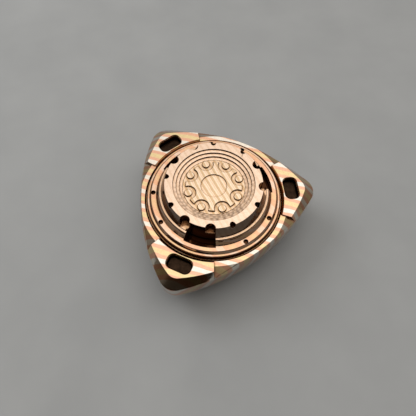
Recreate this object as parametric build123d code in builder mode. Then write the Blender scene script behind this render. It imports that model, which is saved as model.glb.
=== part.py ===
from build123d import *
import math
import os

# Three-cornered fidget spinner: a heavy laminated-metal body that turns on a
# small ball bearing, held between two round finger buttons.
# Millimetres.  +Z is the spin axis, z = 0 is the bearing's middle plane and
# a corner of the body points along +X.

os.makedirs("parts", exist_ok=True)

CORNERS = 3                       # corners, windows, slots and notch pairs
CORNER_STEP = 360 / CORNERS

# ---------------------------------------------------------------- bearing
bearing_bore = 6.35               # inner race bore
bearing_outside = 12.7            # outer race outside diameter
bearing_width = 4.7625
ball_diameter = 1.5875
ball_count = 10
groove_depth = 0.226              # ball groove below each race's land
groove_play = 0.035               # gap between a ball and its groove
cage_thickness = 0.56
cage_height = 1.9
cage_rim = 0.45                   # cage height left under the ball centres
ball_pocket_play = 0.06
shield_seat_depth = 0.44          # step in the outer race's end faces
shield_seat_wall = 0.6            # outer race wall left beside the step
shield_thickness = 0.2
shield_gap = 0.15                 # shield to inner race land
snap_ring_thickness = 0.2
snap_ring_width = 0.4
snap_ring_groove = 0.1            # how far the snap ring enters the race wall
snap_ring_opening = 30            # degrees missing from the snap ring

# ---------------------------------------------------------------- body
body_thickness = 7.8
side_wall_height = 4.2            # upright band round the body
recess_radius = 18.0              # round recess in each face
mid_side_wall = 1.7               # recess wall at the middle of a side
side_arc_radius = 57.0            # bulge of the upright sides
side_corner_rounding = 4.2
face_inset = 0.6                  # face edge inside the side wall, mid-side
face_arc_radius = 38.7            # rounder outline of the faces
face_corner_rounding = 3.0
recess_bevel = 0.7
bearing_land = 0.6                # shoulder below and lock ring above the bearing
bearing_shoulder = 0.75           # how far the shoulder covers the outer race
band_drop = 0.4                   # turned band between the corner flats
band_width = 1.6
band_slope = 25                   # degrees, cone outside the band
flat_half_angle = 24              # half of each corner flat
window_length = 6.2
window_width = 3.45
window_rounding = 1.3
window_land = 1.18                # metal between recess and window
window_bevel = 0.3
insert_depth = 1.6                # weight below the face
insert_bevel = 0.25

# ---------------------------------------------------------------- lock ring
lock_ring_wall = 1.05             # lock ring outside the bearing
lock_ring_play = 0.04
lock_ring_hole = 0.45             # spanner hole radius
lock_ring_holes = 4

# ---------------------------------------------------------------- hub stack
washer_radius = 4.0
washer_thickness = 0.5
post_play = 0.02                  # button post in the inner race
post_gap = 0.1                    # each post ends short of the middle plane
boss_radius = 4.15
flange_bore_play = 0.05
recess_floor_gap = 0.35           # flange underside above the recess floor
recess_side_gap = 0.5             # flange edge to recess wall
flange_turn = 10.0                # degrees, flange slots from the body's corner
flange_edge_height = 0.95
lip_width = 0.6
lip_rise = 0.85
lip_lean = 0.4
ledge_width = 1.45
tier_rise = 1.35
tier_lean = 0.75
slot_half_angle = 15.5            # the slots and the cuts in the button above them
slot_inner_inset = 2.0            # slot inner wall inside the tier top
slot_outer_outset = 1.1           # slot outer wall outside the tier top
ledge_hole_radius = 0.6
ledge_hole_depth = 1.2
ledge_hole_angle = 16.3           # each side of the middle between two slots
flange_edge_bevel = 0.12

# ---------------------------------------------------------------- button
button_turn = 4.6                 # degrees, notches from the body's corner
foot_thickness = 0.42
foot_ledge = 0.65
cone_height = 3.25
cone_lean = 1.1
rim_width = 2.1
step_count = 3
step_depth = 0.56
step_width = 0.8
tread_rise = 0.1                  # each step's floor climbs outward by this
notch_angle = 15.3
notch_radius = 1.26
notch_floor = 0.6                 # metal left under a notch
rim_hole_angle = 19.6             # each side of the middle between notch pairs
rim_hole_radius = 0.72
rim_hole_depth = 1.3
rim_hole_lean = 40                # degrees, holes drilled down into the rim's edge
cut_back_inset = 0.08             # cut wall inside the rim's outer edge
button_edge_bevel = 0.15

# ---------------------------------------------------------------- face disc
disc_thickness = 1.3
disc_play = 0.03
relief_height = 0.4
relief_lobes = 8
relief_turn = 11.5                # degrees, first lobe from the body's corner
relief_outer_inset = 0.75
lobe_inset = 1.2
lobe_radius = 1.95
peg_radius = 1.0
dish_radius = 3.35
dish_depth = 0.3
relief_bevel = 0.1

# ---------------------------------------------------------------- stud
stud_radius = 1.75
stud_length = 9.4
stud_point = 0.35
hex_key = 1.5                     # across flats
hex_depth = 1.6
tap_extra = 0.6                   # drilled past the stud's end

# ---------------------------------------------------------------- derived
body_top = body_thickness / 2
wall_top = side_wall_height / 2
bearing_top = bearing_width / 2
bearing_radius = bearing_outside / 2
bore_radius = bearing_bore / 2
ball_radius = ball_diameter / 2
pitch_radius = (bearing_radius + bore_radius) / 2
recess_floor = bearing_top + bearing_land
side_mid_radius = recess_radius + mid_side_wall
face_mid_radius = side_mid_radius - face_inset
window_radius = recess_radius + window_land + window_width / 2
lock_ring_radius = bearing_radius + lock_ring_wall
shoulder_radius = bearing_radius - bearing_shoulder

flange_bottom = recess_floor + recess_floor_gap
flange_radius = recess_radius - recess_side_gap
lip_z = flange_bottom + flange_edge_height
lip_radius = flange_radius - lip_width
ledge_z = lip_z + lip_rise
ledge_radius = lip_radius - lip_lean
tier_foot_radius = ledge_radius - ledge_width
tier_top = ledge_z + tier_rise
tier_radius = tier_foot_radius - tier_lean

foot_radius = tier_radius - 0.05
cone_bottom = tier_top + foot_thickness
cone_foot_radius = foot_radius - foot_ledge
rim_top = cone_bottom + cone_height
rim_radius = cone_foot_radius - cone_lean
rim_inner_radius = rim_radius - rim_width
cut_back_radius = rim_radius - cut_back_inset
disc_top = rim_top - step_count * step_depth
disc_seat = disc_top - disc_thickness
disc_seat_radius = rim_inner_radius - step_count * step_width
disc_radius = disc_seat_radius - disc_play
washer_top = bearing_top + washer_thickness
stud_half = stud_length / 2


def rounded_triangle(mid_radius, arc_radius, rounding):
    """Bulged triangle: three large discs in common, corners rounded."""
    for corner in range(CORNERS):
        mode = Mode.ADD if corner == 0 else Mode.INTERSECT
        with PolarLocations(arc_radius - mid_radius, 1, start_angle=corner * CORNER_STEP):
            Circle(arc_radius, mode=mode)
    sketch = BuildSketch._get_context()
    fillet(sketch.vertices(), rounding)


def side_outline():
    rounded_triangle(side_mid_radius, side_arc_radius, side_corner_rounding)


def face_outline():
    rounded_triangle(face_mid_radius, face_arc_radius, face_corner_rounding)


def finish(builder, name):
    builder.part.label = name
    export_step(builder.part, f"parts/{name}.step")


def radial_plane(angle):
    """Plane through the axis, its x outward at the angle and its y up."""
    turn = math.radians(angle)
    return Plane(
        origin=(0, 0, 0),
        x_dir=(math.cos(turn), math.sin(turn), 0),
        z_dir=(math.sin(turn), -math.cos(turn), 0),
    )


# ================================================================ body
with BuildPart() as spinner_body:
    with BuildSketch(Plane.XY):
        side_outline()
    extrude(amount=wall_top)
    with BuildSketch(Plane.XY.offset(wall_top)):
        side_outline()
    with BuildSketch(Plane.XY.offset(body_top)):
        face_outline()
    loft(ruled=True)
    # round recess with a bevelled mouth
    with BuildSketch(Plane.XZ):
        with BuildLine():
            Polyline(
                (0, recess_floor),
                (recess_radius, recess_floor),
                (recess_radius, body_top - recess_bevel),
                (recess_radius + recess_bevel, body_top),
                (recess_radius + recess_bevel, body_top + 1),
                (0, body_top + 1),
                close=True,
            )
        make_face()
    revolve(axis=Axis.Z, mode=Mode.SUBTRACT)
    # turned band and cone between the corner flats
    band_start = recess_radius - 1
    band_end = recess_radius + band_width
    cone_end = side_mid_radius + window_width + window_land
    cone_drop = (cone_end - band_end) * math.tan(math.radians(band_slope))
    for corner in range(CORNERS):
        with BuildSketch(radial_plane(corner * CORNER_STEP + flat_half_angle)):
            with BuildLine():
                Polyline(
                    (band_start, body_top - band_drop),
                    (band_end, body_top - band_drop),
                    (cone_end, body_top - band_drop - cone_drop),
                    (cone_end, body_top + 1),
                    (band_start, body_top + 1),
                    close=True,
                )
            make_face()
        revolve(
            axis=Axis.Z,
            revolution_arc=CORNER_STEP - 2 * flat_half_angle,
            mode=Mode.SUBTRACT,
        )
    # windows with bevelled mouths
    with BuildSketch(Plane.XY) as window_sketch:
        with PolarLocations(window_radius, CORNERS):
            RectangleRounded(window_width, window_length, window_rounding)
    extrude(amount=body_top, mode=Mode.SUBTRACT)
    with BuildSketch(Plane.XY.offset(body_top)):
        with PolarLocations(window_radius, CORNERS):
            RectangleRounded(
                window_width + 2 * window_bevel,
                window_length + 2 * window_bevel,
                window_rounding + window_bevel,
            )
    extrude(amount=-2 * window_bevel, taper=45, mode=Mode.SUBTRACT)
    mirror(about=Plane.XY)
    # bearing seat, lock ring seat and the opening in the shoulder
    with BuildSketch(Plane.XY.offset(-bearing_top)):
        Circle(bearing_radius)
    extrude(amount=bearing_width + bearing_land, mode=Mode.SUBTRACT)
    with BuildSketch(Plane.XY.offset(bearing_top)):
        Circle(lock_ring_radius + lock_ring_play)
    extrude(amount=bearing_land, mode=Mode.SUBTRACT)
    with BuildSketch(Plane.XY.offset(-recess_floor)):
        Circle(shoulder_radius)
    extrude(amount=bearing_land, mode=Mode.SUBTRACT)
finish(spinner_body, "spinner_body")

# ================================================================ corner weights
for corner in range(CORNERS):
    with BuildPart() as corner_weight:
        with BuildSketch(Plane.XY.offset(insert_depth - body_top)):
            with PolarLocations(window_radius, 1, start_angle=corner * CORNER_STEP):
                RectangleRounded(window_width, window_length, window_rounding)
        extrude(amount=body_thickness - 2 * insert_depth)
        ends = corner_weight.faces().filter_by(Axis.Z)
        chamfer(ends.edges(), insert_bevel)
    finish(corner_weight, f"corner_weight_{corner + 1}")

# ================================================================ lock ring
with BuildPart() as bearing_lock_ring:
    with BuildSketch(Plane.XY.offset(bearing_top)):
        Circle(lock_ring_radius)
        Circle(shoulder_radius, mode=Mode.SUBTRACT)
        hole_circle = (lock_ring_radius + shoulder_radius) / 2
        with PolarLocations(hole_circle, lock_ring_holes, start_angle=45):
            Circle(lock_ring_hole, mode=Mode.SUBTRACT)
    extrude(amount=bearing_land)
finish(bearing_lock_ring, "bearing_lock_ring")

# ================================================================ bearing
outer_land = pitch_radius + ball_radius - groove_depth
inner_land = pitch_radius - ball_radius + groove_depth
shield_seat_radius = bearing_radius - shield_seat_wall
shield_bottom = bearing_top - shield_seat_depth
snap_ring_bottom = shield_bottom + shield_thickness + 0.01
groove_radius = ball_radius + groove_play

with BuildPart() as bearing_outer_race:
    with BuildSketch(Plane.XY.offset(-bearing_top)):
        Circle(bearing_radius)
        Circle(outer_land, mode=Mode.SUBTRACT)
    extrude(amount=bearing_width)
    with BuildSketch(Plane.XZ):
        with Locations((pitch_radius, 0)):
            Circle(groove_radius)
    revolve(axis=Axis.Z, mode=Mode.SUBTRACT)
    with BuildSketch(Plane.XZ):
        for side in (1, -1):
            with Locations((0, side * (bearing_top + shield_bottom) / 2)):
                Rectangle(2 * shield_seat_radius, shield_seat_depth)
            ring_middle = snap_ring_bottom + snap_ring_thickness / 2
            with Locations((0, side * ring_middle)):
                Rectangle(2 * (shield_seat_radius + snap_ring_groove), snap_ring_thickness)
        split(bisect_by=Plane.YZ, keep=Keep.TOP)
    revolve(axis=Axis.Z, mode=Mode.SUBTRACT)
finish(bearing_outer_race, "bearing_outer_race")

with BuildPart() as bearing_inner_race:
    with BuildSketch(Plane.XY.offset(-bearing_top)):
        Circle(inner_land)
        Circle(bore_radius, mode=Mode.SUBTRACT)
    extrude(amount=bearing_width)
    with BuildSketch(Plane.XZ):
        with Locations((pitch_radius, 0)):
            Circle(groove_radius)
    revolve(axis=Axis.Z, mode=Mode.SUBTRACT)
finish(bearing_inner_race, "bearing_inner_race")

with BuildPart() as bearing_balls:
    with PolarLocations(pitch_radius, ball_count):
        Sphere(ball_radius)
finish(bearing_balls, "bearing_balls")

with BuildPart() as bearing_cage:
    with BuildSketch(Plane.XY.offset(cage_rim - cage_height)):
        Circle(pitch_radius + cage_thickness / 2)
        Circle(pitch_radius - cage_thickness / 2, mode=Mode.SUBTRACT)
    extrude(amount=cage_height)
    with PolarLocations(pitch_radius, ball_count):
        Sphere(ball_radius + ball_pocket_play, mode=Mode.SUBTRACT)
finish(bearing_cage, "bearing_cage")

with BuildPart() as bearing_shield_top:
    with BuildSketch(Plane.XY.offset(shield_bottom)):
        Circle(shield_seat_radius)
        Circle(inner_land + shield_gap, mode=Mode.SUBTRACT)
    extrude(amount=shield_thickness)
finish(bearing_shield_top, "bearing_shield_top")

with BuildPart() as bearing_shield_bottom:
    add(bearing_shield_top.part)
    mirror(about=Plane.XY, mode=Mode.REPLACE)
finish(bearing_shield_bottom, "bearing_shield_bottom")

with BuildPart() as snap_ring_top:
    snap_ring_outer = shield_seat_radius + snap_ring_groove
    with BuildSketch(Plane.XY.offset(snap_ring_bottom)):
        Circle(snap_ring_outer)
        Circle(snap_ring_outer - snap_ring_width, mode=Mode.SUBTRACT)
        opening = 2 * snap_ring_outer * math.sin(math.radians(snap_ring_opening / 2))
        with Locations((snap_ring_outer, 0)):
            Rectangle(2 * snap_ring_outer, opening, mode=Mode.SUBTRACT)
    extrude(amount=snap_ring_thickness)
finish(snap_ring_top, "snap_ring_top")

with BuildPart() as snap_ring_bottom_part:
    add(snap_ring_top.part)
    mirror(about=Plane.XY, mode=Mode.REPLACE)
finish(snap_ring_bottom_part, "snap_ring_bottom")

# ================================================================ hub stack
with BuildPart() as top_washer:
    with BuildSketch(Plane.XY.offset(bearing_top)):
        Circle(washer_radius)
        Circle(bore_radius, mode=Mode.SUBTRACT)
    extrude(amount=washer_thickness)
finish(top_washer, "top_washer")

with BuildPart() as bottom_washer:
    add(top_washer.part)
    mirror(about=Plane.XY, mode=Mode.REPLACE)
finish(bottom_washer, "bottom_washer")

with BuildPart() as axle_stud:
    Cylinder(stud_radius, stud_length)
    chamfer(axle_stud.edges().filter_by(GeomType.CIRCLE), stud_point)
    for side in (1, -1):
        with BuildSketch(Plane.XY.offset(side * stud_half)):
            RegularPolygon(hex_key / 2, 6, major_radius=False)
        extrude(amount=-side * hex_depth, mode=Mode.SUBTRACT)
finish(axle_stud, "axle_stud")

with BuildPart() as top_flange:
    with BuildSketch(Plane.XZ):
        with BuildLine():
            Polyline(
                (boss_radius + flange_bore_play, flange_bottom),
                (flange_radius, flange_bottom),
                (flange_radius, lip_z - flange_edge_bevel),
                (flange_radius - flange_edge_bevel, lip_z),
                (lip_radius, lip_z),
                (ledge_radius, ledge_z - flange_edge_bevel),
                (ledge_radius - flange_edge_bevel, ledge_z),
                (tier_foot_radius, ledge_z),
                (tier_radius, tier_top),
                (boss_radius + flange_bore_play, tier_top),
                close=True,
            )
        make_face()
    revolve(axis=Axis.Z)
    # three arc-shaped windows through the tier
    slot_inner = tier_radius - slot_inner_inset
    slot_outer = tier_radius + slot_outer_outset
    for corner in range(CORNERS):
        slot_start = corner * CORNER_STEP + flange_turn - slot_half_angle
        with BuildSketch(radial_plane(slot_start)):
            with BuildLine():
                Polyline(
                    (slot_inner, flange_bottom - 1),
                    (slot_outer, flange_bottom - 1),
                    (slot_outer, tier_top + 1),
                    (slot_inner, tier_top + 1),
                    close=True,
                )
            make_face()
        revolve(axis=Axis.Z, revolution_arc=2 * slot_half_angle, mode=Mode.SUBTRACT)
    # spanner holes in the ledge, two between each pair of slots
    ledge_hole_circle = (ledge_radius + tier_foot_radius) / 2 + 0.1
    with BuildSketch(Plane.XY.offset(ledge_z)):
        for side in (1, -1):
            first_hole = flange_turn + CORNER_STEP / 2 + side * ledge_hole_angle
            with PolarLocations(ledge_hole_circle, CORNERS, start_angle=first_hole):
                Circle(ledge_hole_radius)
    extrude(amount=-ledge_hole_depth, mode=Mode.SUBTRACT)
finish(top_flange, "top_flange")

with BuildPart() as bottom_flange:
    add(top_flange.part)
    mirror(about=Plane.XY, mode=Mode.REPLACE)
finish(bottom_flange, "bottom_flange")

# ================================================================ buttons
with BuildPart() as top_button:
    with BuildSketch(Plane.XZ):
        with BuildLine():
            step_points = []
            for step in range(step_count):
                step_radius = rim_inner_radius - step * step_width
                tread_z = rim_top - (step + 1) * step_depth
                step_points.append((step_radius, tread_z + step_depth))
                step_points.append((step_radius, tread_z + tread_rise))
            Polyline(
                (0, post_gap),
                (bore_radius - post_play, post_gap),
                (bore_radius - post_play, washer_top),
                (boss_radius, washer_top),
                (boss_radius, tier_top),
                (foot_radius, tier_top),
                (foot_radius, cone_bottom - button_edge_bevel),
                (foot_radius - button_edge_bevel, cone_bottom),
                (cone_foot_radius, cone_bottom),
                (rim_radius, rim_top),
                *step_points,
                (disc_seat_radius, disc_top),
                (disc_seat_radius, disc_seat),
                (0, disc_seat),
                close=True,
            )
        make_face()
    revolve(axis=Axis.Z)
    # tapped hole for the stud
    with BuildSketch(Plane.XY):
        Circle(stud_radius)
    extrude(amount=stud_half + tap_extra, mode=Mode.SUBTRACT)
    # wall cut back over each flange slot
    for corner in range(CORNERS):
        cut_start = corner * CORNER_STEP + flange_turn - slot_half_angle
        with BuildSketch(radial_plane(cut_start)):
            with BuildLine():
                Polyline(
                    (cut_back_radius, tier_top - 0.5),
                    (foot_radius + 1, tier_top - 0.5),
                    (foot_radius + 1, rim_top + 1),
                    (cut_back_radius, rim_top + 1),
                    close=True,
                )
            make_face()
        revolve(axis=Axis.Z, revolution_arc=2 * slot_half_angle, mode=Mode.SUBTRACT)
    # round notches in the rim
    with BuildSketch(Plane.XY.offset(rim_top)):
        for side in (1, -1):
            first_notch = button_turn + side * notch_angle
            with PolarLocations(rim_radius, CORNERS, start_angle=first_notch):
                Circle(notch_radius)
    extrude(amount=tier_top + notch_floor - rim_top, mode=Mode.SUBTRACT)
    # small holes drilled at a lean into the rim's outer edge
    lean = math.radians(rim_hole_lean)
    for corner in range(CORNERS):
        middle = button_turn + (corner + 0.5) * CORNER_STEP
        for side in (1, -1):
            turn = math.radians(middle + side * rim_hole_angle)
            outward = Vector(math.cos(turn), math.sin(turn), 0)
            drill_axis = outward * math.sin(lean) + Vector(0, 0, math.cos(lean))
            rim_edge = outward * rim_radius + Vector(0, 0, rim_top)
            with BuildSketch(Plane(origin=rim_edge, z_dir=drill_axis)):
                Circle(rim_hole_radius)
            extrude(amount=rim_hole_depth, both=True, mode=Mode.SUBTRACT)
finish(top_button, "top_button")

with BuildPart() as bottom_button:
    add(top_button.part)
    mirror(about=Plane.XY, mode=Mode.REPLACE)
finish(bottom_button, "bottom_button")

# ================================================================ face discs
relief_radius = disc_radius - relief_outer_inset
lobe_circle = disc_radius - lobe_inset
with BuildPart() as top_face_disc:
    with BuildSketch(Plane.XY.offset(disc_seat)):
        Circle(disc_radius)
    extrude(amount=disc_thickness)
    # raised star with a round lobe between each pair of arms
    with BuildSketch(Plane.XY.offset(disc_top)):
        Circle(relief_radius)
        with PolarLocations(lobe_circle, relief_lobes, start_angle=relief_turn):
            Circle(lobe_radius, mode=Mode.SUBTRACT)
        lobe_mouth = relief_radius - lobe_circle + 1
        mouth_middle = lobe_circle + lobe_mouth / 2
        with PolarLocations(mouth_middle, relief_lobes, start_angle=relief_turn):
            Rectangle(lobe_mouth, 2 * lobe_radius, mode=Mode.SUBTRACT)
    extrude(amount=relief_height)
    # a peg in each lobe
    with BuildSketch(Plane.XY.offset(disc_top)):
        with PolarLocations(lobe_circle, relief_lobes, start_angle=relief_turn):
            Circle(peg_radius)
    extrude(amount=relief_height)
    raised = top_face_disc.faces().filter_by(Axis.Z).sort_by(Axis.Z)
    tops = [face for face in raised if face.center().Z > disc_top + relief_height / 2]
    chamfer(ShapeList(tops).edges(), relief_bevel)
    # round dish in the middle
    with BuildSketch(Plane.XY.offset(disc_top + relief_height)):
        Circle(dish_radius)
    extrude(amount=-dish_depth, mode=Mode.SUBTRACT)
finish(top_face_disc, "top_face_disc")

with BuildPart() as bottom_face_disc:
    add(top_face_disc.part)
    mirror(about=Plane.XY, mode=Mode.REPLACE)
finish(bottom_face_disc, "bottom_face_disc")
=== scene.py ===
import math

import bmesh
import bpy
from mathutils import Matrix, Vector
from mathutils.bvhtree import BVHTree


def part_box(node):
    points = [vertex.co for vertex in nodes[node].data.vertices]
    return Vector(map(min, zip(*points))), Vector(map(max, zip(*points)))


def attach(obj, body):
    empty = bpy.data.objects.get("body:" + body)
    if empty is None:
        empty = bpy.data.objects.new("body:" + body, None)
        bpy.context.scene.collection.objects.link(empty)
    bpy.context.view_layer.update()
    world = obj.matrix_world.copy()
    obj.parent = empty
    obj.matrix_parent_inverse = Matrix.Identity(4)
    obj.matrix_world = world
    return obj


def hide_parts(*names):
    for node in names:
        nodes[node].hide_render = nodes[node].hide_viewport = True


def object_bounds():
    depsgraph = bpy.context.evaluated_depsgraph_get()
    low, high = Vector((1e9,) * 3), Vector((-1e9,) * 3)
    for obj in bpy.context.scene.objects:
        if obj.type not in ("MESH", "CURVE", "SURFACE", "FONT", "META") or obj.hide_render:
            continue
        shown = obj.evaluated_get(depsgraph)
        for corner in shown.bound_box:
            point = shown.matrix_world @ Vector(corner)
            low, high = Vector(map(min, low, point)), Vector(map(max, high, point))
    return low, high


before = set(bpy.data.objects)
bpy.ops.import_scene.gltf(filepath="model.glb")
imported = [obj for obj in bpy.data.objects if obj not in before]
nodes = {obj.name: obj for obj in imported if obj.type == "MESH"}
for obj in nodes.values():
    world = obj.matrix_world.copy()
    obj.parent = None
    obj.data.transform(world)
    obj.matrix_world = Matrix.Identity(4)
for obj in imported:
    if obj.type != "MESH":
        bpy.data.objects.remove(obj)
cad_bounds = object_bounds()

MM = 0.001
floor_height = cad_bounds[0].z
body_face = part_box("spinner_body")[1].z

# ------------------------------------------------------------------ edges
WELD = 0.002 * MM                 # corners of loose triangles closer than this are one
SLIVER = 0.05 * MM                # no edge is left shorter than this
FLAT_ANGLE = math.radians(0.6)    # faces this close to level become one
EDGE_ANGLE = math.radians(24)     # edges sharper than this are rounded over
SHADE_ANGLE = math.radians(38)    # edges sharper than this keep a hard line in the shading

# ------------------------------------------------------------------ colours
COPPER = (0.66, 0.38, 0.26)
BRASS = (0.66, 0.52, 0.29)
NICKEL_SILVER = (0.70, 0.66, 0.59)
ROSE = (0.68, 0.40, 0.26)
CREAM = (0.68, 0.55, 0.41)
PINK_GOLD = (0.70, 0.52, 0.40)
# painted reflection: the warm amber laid into hollows
PAINTED_AMBER_REFLECTION = (0.62, 0.30, 0.09)
TAN = (0.50, 0.34, 0.20)
# painted shade: the near-black brown laid into steep faces, hollows, inner corners and the recess core
PAINTED_SHADE_BROWN = (0.045, 0.018, 0.008)

# ------------------------------------------------------------------ laminates
WAVE_SCALE = 0.11                 # how closely the layers' long bends follow each other, per mm
RIPPLE_SCALE = 0.8                # and their shivers
LAYER_SOFTNESS = 0.02             # share of the stack, each side of a join, where two metals mix
POLISH_ROUGHNESS = 0.1
HOLLOW_REACH = 4.5 * MM           # hollows narrower than this get a painted amber reflection, then painted black shade
CORNER_REACH = 0.8 * MM           # inner corners this close get painted black shade

# a stack of layers: where each ends, as a share of the stack, and its metal
BODY_STACK = ((0.22, COPPER), (0.50, BRASS), (0.72, COPPER), (1.0, NICKEL_SILVER))
BUTTON_STACK = ((0.36, TAN), (0.70, PINK_GOLD), (1.0, CREAM))
DISC_STACK = ((0.42, TAN), (0.74, CREAM), (0.84, ROSE), (1.0, CREAM))


# ------------------------------------------------------------------ node helpers
class Sheet:
    """A material's node tree with short calls for the nodes used here."""

    def __init__(self, name):
        self.material = bpy.data.materials.new(name)
        self.material.use_nodes = True
        self.tree = self.material.node_tree
        self.shader = self.tree.nodes["Principled BSDF"]

    def add(self, kind, inputs=None, **settings):
        node = self.tree.nodes.new(kind)
        for key, value in settings.items():
            setattr(node, key, value)
        for key, value in (inputs or {}).items():
            if isinstance(value, bpy.types.NodeSocket):
                self.tree.links.new(value, node.inputs[key])
            else:
                node.inputs[key].default_value = value
        return node

    def math(self, operation, first, second=0.0):
        node = self.add("ShaderNodeMath", {0: first, 1: second}, operation=operation)
        return node.outputs[0]

    def spot(self):
        """Object coordinates in millimetres."""
        place = self.add("ShaderNodeTexCoord").outputs["Object"]
        scaled = self.add("ShaderNodeMapping", {"Vector": place, "Scale": (1000, 1000, 1000)})
        return scaled.outputs[0]

    def along(self, vector, direction):
        """Distance of a point along a direction."""
        inputs = {0: vector, 1: Vector(direction).normalized()}
        return self.add("ShaderNodeVectorMath", inputs, operation="DOT_PRODUCT").outputs["Value"]

    def noise(self, vector, scale, detail=3.0, rough=0.5):
        node = self.add(
            "ShaderNodeTexNoise",
            {"Vector": vector, "Scale": scale, "Detail": detail, "Roughness": rough},
        )
        return node.outputs["Fac"]

    def ramp(self, factor, stops):
        node = self.add("ShaderNodeValToRGB", {"Fac": factor})
        ramp = node.color_ramp
        while len(ramp.elements) < len(stops):
            ramp.elements.new(0.5)
        for element, (position, colour) in zip(ramp.elements, stops):
            element.position = position
            element.color = (*colour, 1)
        return node.outputs["Color"]

    def blend(self, factor, first, second, how="MIX"):
        node = self.add("ShaderNodeMix", data_type="RGBA", blend_type=how)
        for key, value in ((0, factor), (6, first), (7, second)):
            if isinstance(value, bpy.types.NodeSocket):
                self.tree.links.new(value, node.inputs[key])
            else:
                node.inputs[key].default_value = value if key == 0 else (*value, 1)
        return node.outputs[2]

    def span(self, value, low, high, to_low, to_high):
        node = self.add(
            "ShaderNodeMapRange",
            {"Value": value, "From Min": low, "From Max": high, "To Min": to_low, "To Max": to_high},
        )
        return node.outputs["Result"]

    def openness(self, reach):
        """1 where nothing stands within reach, towards 0 down in a hollow that narrow."""
        return self.add("ShaderNodeAmbientOcclusion", {"Distance": reach}, samples=6).outputs["AO"]

    def wire(self, socket, value):
        self.tree.links.new(value, self.shader.inputs[socket])

    def raise_by(self, height, strength, distance):
        """Gives the surface a small relief that follows height."""
        bump = self.add("ShaderNodeBump", {"Height": height, "Strength": strength, "Distance": distance})
        self.wire("Normal", bump.outputs[0])


# ------------------------------------------------------------------ materials
def layers(sheet, place, across, period, wave, ripple, stack):
    """Colour of a stack of metals at each point, and the share of the stack passed there."""
    depth = sheet.along(place, across)
    for scale, reach in ((WAVE_SCALE, wave), (RIPPLE_SCALE, ripple)):
        wander = sheet.noise(place, scale, 2.0)
        depth = sheet.math("ADD", depth, sheet.span(wander, 0, 1, -reach, reach))
    share = sheet.math("FRACT", sheet.math("DIVIDE", depth, period))
    stops = []
    start = 0.0
    for end, metal in stack:
        stops += [(start + LAYER_SOFTNESS, metal), (end - LAYER_SOFTNESS, metal)]
        start = end
    return sheet.ramp(share, stops), share


def cloud_and_painted_shade(sheet, place, colour, wall_painted_shade):
    """A colour gone cloudy, plus painted shade: browner on steep faces, a painted amber reflection then black
    in hollows and corners.
    """
    mottle = sheet.noise(place, 1.7, 4.0, 0.6)
    cloud = sheet.ramp(mottle, [(0.3, (0.88, 0.86, 0.84)), (0.7, (1.0, 1.0, 1.0))])
    colour = sheet.blend(1.0, colour, cloud, "MULTIPLY")
    facing = sheet.add("ShaderNodeTexCoord").outputs["Normal"]
    level = sheet.math("ABSOLUTE", sheet.along(facing, (0, 0, 1)))
    # painted shade: steep faces darkened towards brown, by as much as wall_painted_shade
    colour = sheet.blend(sheet.span(level, 0.30, 0.75, wall_painted_shade, 0.0), colour, PAINTED_SHADE_BROWN)
    # painted reflection then painted shade: amber, then black, down in hollows
    hollow = sheet.openness(HOLLOW_REACH)
    colour = sheet.blend(sheet.span(hollow, 0.45, 0.92, 0.85, 0.0), colour, PAINTED_AMBER_REFLECTION)
    colour = sheet.blend(sheet.span(hollow, 0.30, 0.70, 1.0, 0.0), colour, PAINTED_SHADE_BROWN)
    # painted shade in inner corners
    corner = sheet.openness(CORNER_REACH)
    return sheet.blend(sheet.span(corner, 0.45, 0.85, 0.95, 0.0), colour, PAINTED_SHADE_BROWN)


def finish(sheet, place, radius, height, share, turned):
    """Roughness and relief of hairline scratches, handling, the layers' steps and the lathe's rings."""
    scratches = []
    for turn, stretch in ((0.6, (0.6, 14, 6)), (2.1, (0.5, 12, 6))):
        drawn = sheet.add("ShaderNodeMapping", {"Vector": place, "Rotation": (0, 0, turn), "Scale": stretch})
        scratches.append(sheet.noise(drawn.outputs[0], 1.0, 2.0))
    lines = sheet.math("MAXIMUM", *scratches)
    smear = sheet.noise(place, 0.35, 3.0)
    rough = sheet.span(lines, 0.55, 0.8, POLISH_ROUGHNESS * 0.8, POLISH_ROUGHNESS * 1.7)
    sheet.wire("Roughness", sheet.math("ADD", rough, sheet.span(smear, 0.35, 0.7, -0.02, 0.05)))
    step = sheet.math("MULTIPLY", sheet.math("ABSOLUTE", sheet.math("SUBTRACT", share, 0.5)), 0.5)
    relief = sheet.math("ADD", sheet.math("MULTIPLY", lines, 0.25), step)
    if turned:
        rings = sheet.add("ShaderNodeCombineXYZ", {0: radius, 2: height}).outputs[0]
        relief = sheet.math("ADD", relief, sheet.math("MULTIPLY", sheet.noise(rings, 7.0, 2.0), turned))
    sheet.raise_by(relief, 0.12, 0.04 * MM)


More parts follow.
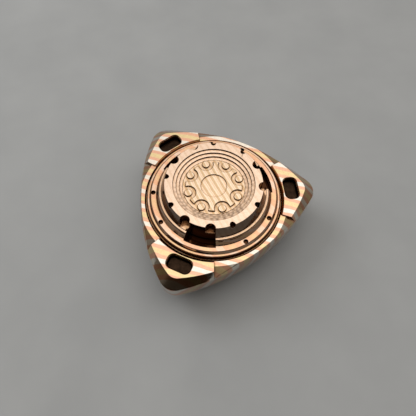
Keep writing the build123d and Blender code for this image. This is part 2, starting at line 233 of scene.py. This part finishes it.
def laminate(
    name, across, period, wave, ripple, stack, fade=0.0, even=CREAM, turned=0.0, wall_painted_shade=0.0, recess_painted_shade=None
):
    """Polished layers of metal.

    across points through the layers, and period is the height of one stack of
    them in millimetres.  wave is how far a layer wanders and ripple how far
    it shivers.  fade is how much the layers' colours run together into even,
    turned how deep the lathe's rings are, and wall_painted_shade how far painted shade
    darkens the steep faces to brown.  blackened is the radius and half height in
    millimetres of a core in the recess that is painted dark as shade.
    """
    sheet = Sheet(name)
    place = sheet.spot()
    colour, share = layers(sheet, place, across, period, wave, ripple, stack)
    colour = cloud_and_painted_shade(sheet, place, sheet.blend(fade, colour, even), wall_painted_shade)
    x, y, height = sheet.add("ShaderNodeSeparateXYZ", {0: place}).outputs
    square = sheet.math("ADD", sheet.math("POWER", x, 2.0), sheet.math("POWER", y, 2.0))
    radius = sheet.math("SQRT", square)
    # painted shade: the body's recess, inside the flange and below the lock ring's top, goes near black
    if recess_painted_shade:
        core_radius, core_height = recess_painted_shade
        inside = sheet.math("LESS_THAN", radius, core_radius)
        low = sheet.math("LESS_THAN", sheet.math("ABSOLUTE", height), core_height)
        colour = sheet.blend(sheet.math("MULTIPLY", inside, low), colour, PAINTED_SHADE_BROWN)
    sheet.wire("Base Color", colour)
    finish(sheet, place, radius, height, share, turned)
    sheet.shader.inputs["Metallic"].default_value = 1.0
    return sheet.material


def plain_metal(name, low, high, roughness, grain=8.0):
    """Worked steel or brass: two near tones, cloudy roughness and fine grain."""
    sheet = Sheet(name)
    place = sheet.spot()
    cloud = sheet.noise(place, 0.9, 4.0, 0.6)
    sheet.wire("Base Color", sheet.ramp(cloud, [(0.3, low), (0.7, high)]))
    fine = sheet.noise(place, grain, 2.0)
    sheet.wire("Roughness", sheet.span(fine, 0.3, 0.7, roughness * 0.75, roughness * 1.3))
    sheet.raise_by(fine, 0.15, 0.03 * MM)
    sheet.shader.inputs["Metallic"].default_value = 1.0
    return sheet.material


def paint(material, *names):
    for name in names:
        for slot in nodes[name].material_slots:
            slot.material = material


# ------------------------------------------------------------------ polished pieces
def polish(node_name, body, material, rounding, measure="WIDTH"):
    """Stands in for a CAD piece: its own merged mesh with every sharp edge rounded over.

    measure is what rounding sizes: the rounded strip's WIDTH, or its OFFSET from the edge.
    """
    piece_name = "polished_" + node_name
    form = bmesh.new()
    form.from_mesh(nodes[node_name].data)
    bmesh.ops.remove_doubles(form, verts=form.verts, dist=WELD)
    bmesh.ops.remove_doubles(form, verts=form.verts, dist=SLIVER)
    bmesh.ops.dissolve_limit(form, angle_limit=FLAT_ANGLE, verts=form.verts, edges=form.edges)
    bmesh.ops.recalc_face_normals(form, faces=form.faces)
    surface = BVHTree.FromBMesh(form)
    sharp = [edge for edge in form.edges if edge.is_manifold and edge.calc_face_angle() > EDGE_ANGLE]
    bmesh.ops.bevel(
        form,
        geom=sharp,
        offset=rounding,
        offset_type=measure,
        segments=2,
        profile=0.5,
        affect="EDGES",
        material=-1,
        clamp_overlap=False,
    )
    # a corner the rounding has thrown clear goes back to the surface
    for vert in form.verts:
        nearest, _, _, distance = surface.find_nearest(vert.co)
        if distance > 0.5 * rounding:
            vert.co = nearest
    mesh = bpy.data.meshes.new(piece_name)
    form.to_mesh(mesh)
    form.free()
    mesh.materials.append(material)
    mesh.shade_smooth()
    mesh.set_sharp_from_angle(angle=SHADE_ANGLE)
    piece = bpy.data.objects.new(piece_name, mesh)
    bpy.context.scene.collection.objects.link(piece)
    weighted = piece.modifiers.new("even_shading", "WEIGHTED_NORMAL")
    weighted.keep_sharp = True
    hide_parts(node_name)
    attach(piece, body)


# radius and half height, in millimetres, of the body's recess that is painted dark as shade
recess_shade_core = (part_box("top_flange")[1].x / MM + 0.3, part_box("bearing_lock_ring")[1].z / MM + 0.15)
body_laminate = laminate(
    "body_laminate", (0.375, 0.927, -0.40), 4.1, 0.8, 0.08, BODY_STACK, recess_painted_shade=recess_shade_core
)
flange_laminate = laminate(
    "flange_laminate", (0.25, 0.20, 0.95), 1.9, 0.7, 0.08, BODY_STACK, fade=0.6, even=ROSE, turned=0.5,
    wall_painted_shade=0.65
)
button_laminate = laminate(
    "button_laminate", (0.90, 0.36, 0.25), 1.5, 0.8, 0.10, BUTTON_STACK, fade=0.72, even=PINK_GOLD, turned=0.5,
    wall_painted_shade=0.8
)
disc_laminate = laminate("disc_laminate", (0.934, 0.358, 0.3), 1.4, 0.5, 0.10, DISC_STACK, fade=0.1)
# the corner weights are coloured near-black brown
weight_metal = plain_metal("browned_weight", (0.014, 0.008, 0.005), (0.035, 0.020, 0.012), 0.38)
race_steel = plain_metal("race_steel", (0.52, 0.53, 0.55), (0.66, 0.67, 0.69), 0.2)
shield_steel = plain_metal("shield_steel", (0.42, 0.43, 0.45), (0.55, 0.56, 0.58), 0.3)
ball_steel = plain_metal("ball_steel", (0.68, 0.69, 0.70), (0.78, 0.79, 0.80), 0.06, 3.0)
cage_brass = plain_metal("cage_brass", (0.55, 0.40, 0.17), (0.70, 0.54, 0.25), 0.28)
ring_brass = plain_metal("ring_brass", (0.58, 0.40, 0.17), (0.72, 0.55, 0.26), 0.25)
stud_steel = plain_metal("stud_steel", (0.05, 0.05, 0.055), (0.12, 0.12, 0.13), 0.35)

polish("spinner_body", "rotor", body_laminate, 0.11 * MM)
for side in ("top", "bottom"):
    polish(side + "_flange", "hub", flange_laminate, 0.08 * MM, "OFFSET")
    polish(side + "_button", "hub", button_laminate, 0.09 * MM)
    polish(side + "_face_disc", "hub", disc_laminate, 0.08 * MM)
paint(weight_metal, "corner_weight_1", "corner_weight_2", "corner_weight_3")
paint(race_steel, "bearing_outer_race", "bearing_inner_race")
paint(shield_steel, "bearing_shield_top", "bearing_shield_bottom", "snap_ring_top")
paint(shield_steel, "snap_ring_bottom", "top_washer", "bottom_washer")
paint(ball_steel, "bearing_balls")
paint(cage_brass, "bearing_cage")
paint(ring_brass, "bearing_lock_ring")
paint(stud_steel, "axle_stud")


# ------------------------------------------------------------------ stage
FLOOR_REACH = 3.0
CAMERA_TURN = math.radians(-6.0)                                # about the spinner's axis
CAMERA_PLACE = Vector((-1.48, -49.7, 89.8)) * MM                # before that turn, from the body's face
CAMERA_TILT = math.radians(27.03)                               # away from straight down
CAMERA_LENS = 33.45                                             # millimetres, on a 36 mm sensor


def make_floor():
    mesh = bpy.data.meshes.new("floor")
    form = bmesh.new()
    bmesh.ops.create_grid(form, x_segments=1, y_segments=1, size=FLOOR_REACH)
    bmesh.ops.translate(form, verts=form.verts, vec=(0, 0, floor_height))
    form.to_mesh(mesh)
    form.free()
    floor = bpy.data.objects.new("floor", mesh)
    bpy.context.scene.collection.objects.link(floor)
    sheet = Sheet("floor_paint")
    grain = sheet.noise(sheet.spot(), 0.05, 3.0)
    sheet.wire("Base Color", sheet.ramp(grain, [(0.3, (0.310, 0.320, 0.325)), (0.7, (0.340, 0.350, 0.355))]))
    sheet.shader.inputs["Roughness"].default_value = 0.7
    sheet.shader.inputs["Specular IOR Level"].default_value = 0.25
    mesh.materials.append(sheet.material)


def make_world(ceiling, room, strength):
    """Studio room: a ceiling that fades from its brightest stretch, over walls that darken to one side.

    ceiling and room are each a direction and stops of (angle from it in
    degrees, colour); their light is added up.
    """
    world = bpy.data.worlds.new("studio")
    bpy.context.scene.world = world
    world.use_nodes = True
    tree = world.node_tree
    place = tree.nodes.new("ShaderNodeTexCoord")
    shades = []
    for direction, stops in (ceiling, room):
        dot = tree.nodes.new("ShaderNodeVectorMath")
        dot.operation = "DOT_PRODUCT"
        dot.inputs[1].default_value = Vector(direction).normalized()
        tree.links.new(place.outputs["Generated"], dot.inputs[0])
        share = tree.nodes.new("ShaderNodeMapRange")
        share.inputs["From Min"].default_value = -1.0
        tree.links.new(dot.outputs["Value"], share.inputs["Value"])
        ramp = tree.nodes.new("ShaderNodeValToRGB")
        while len(ramp.color_ramp.elements) < len(stops):
            ramp.color_ramp.elements.new(0.5)
        for element, (angle, colour) in zip(ramp.color_ramp.elements, stops):
            element.position = 0.5 + 0.5 * math.cos(math.radians(angle))
            element.color = (*colour, 1)
        tree.links.new(share.outputs[0], ramp.inputs[0])
        shades.append(ramp.outputs[0])
    total = tree.nodes.new("ShaderNodeMix")
    total.data_type = "RGBA"
    total.blend_type = "ADD"
    total.inputs[0].default_value = 1.0
    tree.links.new(shades[0], total.inputs[6])
    tree.links.new(shades[1], total.inputs[7])
    back = tree.nodes["Background"]
    tree.links.new(total.outputs[2], back.inputs[0])
    back.inputs[1].default_value = strength


def softbox(name, place, size, power):
    """Square light that faces the spinner and isn't mirrored in it."""
    light = bpy.data.lights.new(name, "AREA")
    light.shape = "SQUARE"
    light.size = size
    light.energy = power
    lamp = bpy.data.objects.new(name, light)
    bpy.context.scene.collection.objects.link(lamp)
    lamp.location = place
    lamp.visible_glossy = False
    lamp.rotation_euler = (-Vector(place)).to_track_quat("-Z", "Y").to_euler()


def make_camera():
    data = bpy.data.cameras.new("camera")
    data.sensor_width = 36.0
    data.lens = CAMERA_LENS
    data.clip_start = 0.001
    camera = bpy.data.objects.new("camera", data)
    bpy.context.scene.collection.objects.link(camera)
    about_axis = Matrix.Rotation(CAMERA_TURN, 4, "Z")
    camera.location = about_axis @ (CAMERA_PLACE + Vector((0, 0, body_face)))
    camera.rotation_euler = (CAMERA_TILT, 0, CAMERA_TURN)
    bpy.context.scene.camera = camera


make_camera()
make_floor()
make_world(
    ceiling=(
        (0.12, 0.22, 0.96),
        [(60, (0, 0, 0)), (50, (0.06, 0.055, 0.05)), (38, (0.34, 0.325, 0.30)), (28, (0.62, 0.60, 0.57)),
         (13, (1.0, 0.98, 0.95))],
    ),
    room=(
        (0.25, 0.95, 0.0),
        [(150, (0.013, 0.009, 0.006)), (128, (0.022, 0.016, 0.011)), (105, (0.09, 0.075, 0.06)),
         (80, (0.14, 0.125, 0.11)), (35, (0.22, 0.205, 0.185))],
    ),
    strength=1.5,
)
softbox("key", (-0.30, 0.22, 0.32), 0.25, 1.0)
softbox("right_fill", (0.45, 0.05, 0.42), 0.45, 0.5)
bpy.context.scene.view_settings.view_transform = "Standard"
